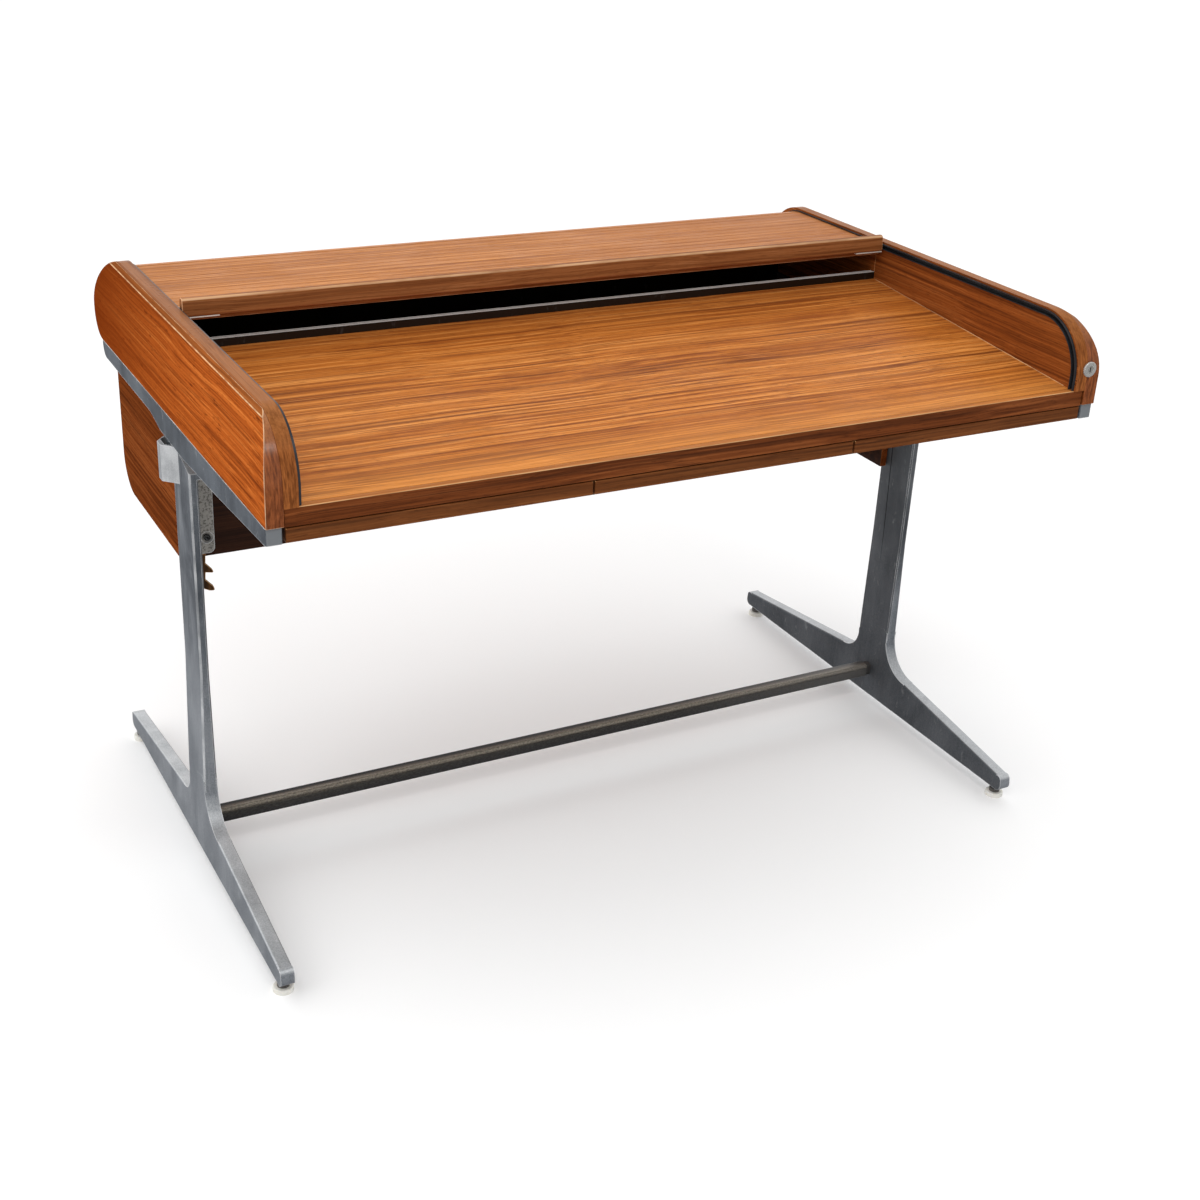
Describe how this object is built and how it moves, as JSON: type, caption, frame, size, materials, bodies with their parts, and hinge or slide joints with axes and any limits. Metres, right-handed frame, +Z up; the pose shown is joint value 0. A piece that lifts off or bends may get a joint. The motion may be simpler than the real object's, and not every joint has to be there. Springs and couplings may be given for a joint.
{
  "type": "tambour desk",
  "caption": "Roll-top writing desk: sloped wooden top between rounded ends, slatted tambour, shallow drawers and a hanging file bin on cast aluminium T-legs joined by a stretcher.",
  "frame": {"origin": "on the floor under the middle of the desk", "axes": "+X to the sitter's right along the desk, +Y away from the sitter, +Z up"},
  "size_m": [1.286, 0.822, 0.841],
  "materials": {
    "walnut": "oiled warm brown wood with dark streaks, worn arrises",
    "walnut_shaded": "dark matt wood",
    "cast_aluminium": "satin, brushed along its length, scuffed",
    "bright_aluminium": "bright extruded strip",
    "track_plastic": "black",
    "tray_plastic": "black moulded, fine texture",
    "runner_plastic": "black",
    "dark_steel": "dark satin steel with a bright edge",
    "zinc_steel": "dull zinc",
    "nylon": "white nylon",
    "nickel": "satin nickel",
    "canvas": "plain weave backing"
  },
  "bodies": {
    "desk": {"bin_back_and_floor": "walnut", "bin_front": "walnut_shaded", "bin_liner": "walnut_shaded", "bin_side_left": "walnut", "bin_side_right": "walnut", "cord_hook": "walnut_shaded", "drawer_runners": "runner_plastic", "file_rail_front": "bright_aluminium", "file_rail_rear": "bright_aluminium", "front_edging": "walnut", "glide_pads": "nylon", "glide_studs": "zinc_steel", "inner_side_left": "walnut", "inner_side_right": "walnut", "leg_left": "cast_aluminium", "leg_right": "cast_aluminium", "liner_blocks": "walnut_shaded", "lock_housing": "nickel", "lug_screws": "zinc_steel", "outer_side_left": "walnut", "outer_side_right": "walnut", "side_rail_left": "cast_aluminium", "side_rail_right": "cast_aluminium", "stretcher_bar": "dark_steel", "stretcher_spigots": "zinc_steel", "tambour_canvas": "canvas", "tambour_slats_bend": "walnut", "tambour_slats_rear": "walnut", "tambour_slats_tail": "walnut", "tambour_track_left": "track_plastic", "tambour_track_right": "track_plastic", "writing_top": "walnut"},
    "drawer_left": {"drawer_front_left": "walnut", "drawer_tray_left": "tray_plastic"},
    "drawer_middle": {"drawer_front_middle": "walnut", "drawer_tray_middle": "tray_plastic"},
    "drawer_right": {"drawer_front_right": "walnut", "drawer_tray_right": "tray_plastic"},
    "tambour_upper": {"tambour_section_upper": "walnut"},
    "tambour_middle": {"tambour_section_middle": "walnut"},
    "tambour_front": {"tambour_section_front": "walnut"},
    "slat_1": {"tambour_slat_1": "walnut"},
    "slat_2": {"tambour_slat_2": "walnut"},
    "slat_3": {"tambour_slat_3": "walnut"},
    "slat_4": {"tambour_slat_4": "walnut"},
    "slat_5": {"tambour_slat_5": "walnut"},
    "lead": {"tambour_lead_bar": "walnut", "lead_bar_plates": "bright_aluminium"},
    "lock": {"lock_plug": "nickel"}
  },
  "joints": [
    {"name": "drawer_left_slide", "type": "slide", "parent": "desk", "child": "drawer_left", "axis": [0, -1, 0], "range_m": [0, 0.25]},
    {"name": "drawer_middle_slide", "type": "slide", "parent": "desk", "child": "drawer_middle", "axis": [0, -1, 0], "range_m": [0, 0.25]},
    {"name": "drawer_right_slide", "type": "slide", "parent": "desk", "child": "drawer_right", "axis": [0, -1, 0], "range_m": [0, 0.25]},
    {"name": "tambour_slide", "type": "slide", "parent": "desk", "child": "tambour_front", "axis": [0, -1, 0], "range_m": [0, 0.498]},
    {"name": "middle_section_slide", "type": "slide", "parent": "desk", "child": "tambour_middle", "axis": [0, -1, 0], "range_m": [0, 0.25]},
    {"name": "upper_section_slide", "type": "slide", "parent": "desk", "child": "tambour_upper", "axis": [0, -1, 0], "range_m": [0, 0.02]},
    {"name": "slat_1_hinge", "type": "hinge", "parent": "tambour_front", "child": "slat_1", "pos_m": [0, 0.188, 0.8081], "axis": [1, 0, 0], "range_deg": [0, 9]},
    {"name": "slat_2_hinge", "type": "hinge", "parent": "slat_1", "child": "slat_2", "pos_m": [0, 0.1682, 0.8081], "axis": [1, 0, 0], "range_deg": [0, 18]},
    {"name": "slat_3_hinge", "type": "hinge", "parent": "slat_2", "child": "slat_3", "pos_m": [0, 0.1484, 0.8081], "axis": [1, 0, 0], "range_deg": [0, 18]},
    {"name": "slat_4_hinge", "type": "hinge", "parent": "slat_3", "child": "slat_4", "pos_m": [0, 0.1286, 0.8081], "axis": [1, 0, 0], "range_deg": [0, 18]},
    {"name": "slat_5_hinge", "type": "hinge", "parent": "slat_4", "child": "slat_5", "pos_m": [0, 0.1088, 0.8081], "axis": [1, 0, 0], "range_deg": [0, 18]},
    {"name": "lead_bar_hinge", "type": "hinge", "parent": "slat_5", "child": "lead", "pos_m": [0, 0.089, 0.8081], "axis": [1, 0, 0], "range_deg": [0, 9]},
    {"name": "lock_turn", "type": "hinge", "parent": "desk", "child": "lock", "pos_m": [0.612, -0.409, 0.757], "axis": [0, 1, 0], "range_deg": [0, 90]}
  ],
  "couplings": [
    {"joint": "middle_section_slide", "follows": "tambour_slide", "ratio": 0.5},
    {"joint": "upper_section_slide", "follows": "tambour_slide", "ratio": 0.04},
    {"joint": "slat_1_hinge", "follows": "tambour_slide", "rad_per_m": 0.31542},
    {"joint": "slat_2_hinge", "follows": "tambour_slide", "rad_per_m": 0.63084},
    {"joint": "slat_3_hinge", "follows": "tambour_slide", "rad_per_m": 0.63084},
    {"joint": "slat_4_hinge", "follows": "tambour_slide", "rad_per_m": 0.63084},
    {"joint": "slat_5_hinge", "follows": "tambour_slide", "rad_per_m": 0.63084},
    {"joint": "lead_bar_hinge", "follows": "tambour_slide", "rad_per_m": 0.31542}
  ]
}
